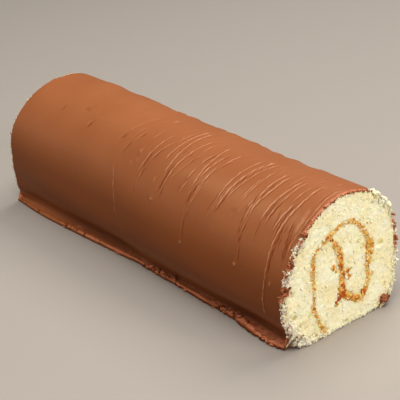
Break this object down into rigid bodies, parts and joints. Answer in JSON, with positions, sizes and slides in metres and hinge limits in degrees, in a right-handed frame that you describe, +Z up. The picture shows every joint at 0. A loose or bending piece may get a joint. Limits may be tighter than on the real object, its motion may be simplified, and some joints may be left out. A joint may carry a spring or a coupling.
{
  "type": "swiss roll cake",
  "caption": "Swiss roll cake with a jam spiral in pale sponge, brushed with milk chocolate that runs out into a thin foot along one side.",
  "frame": {"origin": "Middle of the length, centre of the box across, on the surface the cake stands on.", "axes": "X along the roll towards the cut face with the ragged corner, Y away from the chocolate's foot, Z up."},
  "size_m": [0.25, 0.0827, 0.0758],
  "materials": {
    "sponge": "open pale sponge crumb, matt",
    "jam": "amber apricot jam, moist",
    "chocolate": "brushed milk chocolate, soft sheen"
  },
  "bodies": {
    "root": {"sponge": "sponge", "jam": "jam", "coat": "chocolate"}
  },
  "joints": []
}
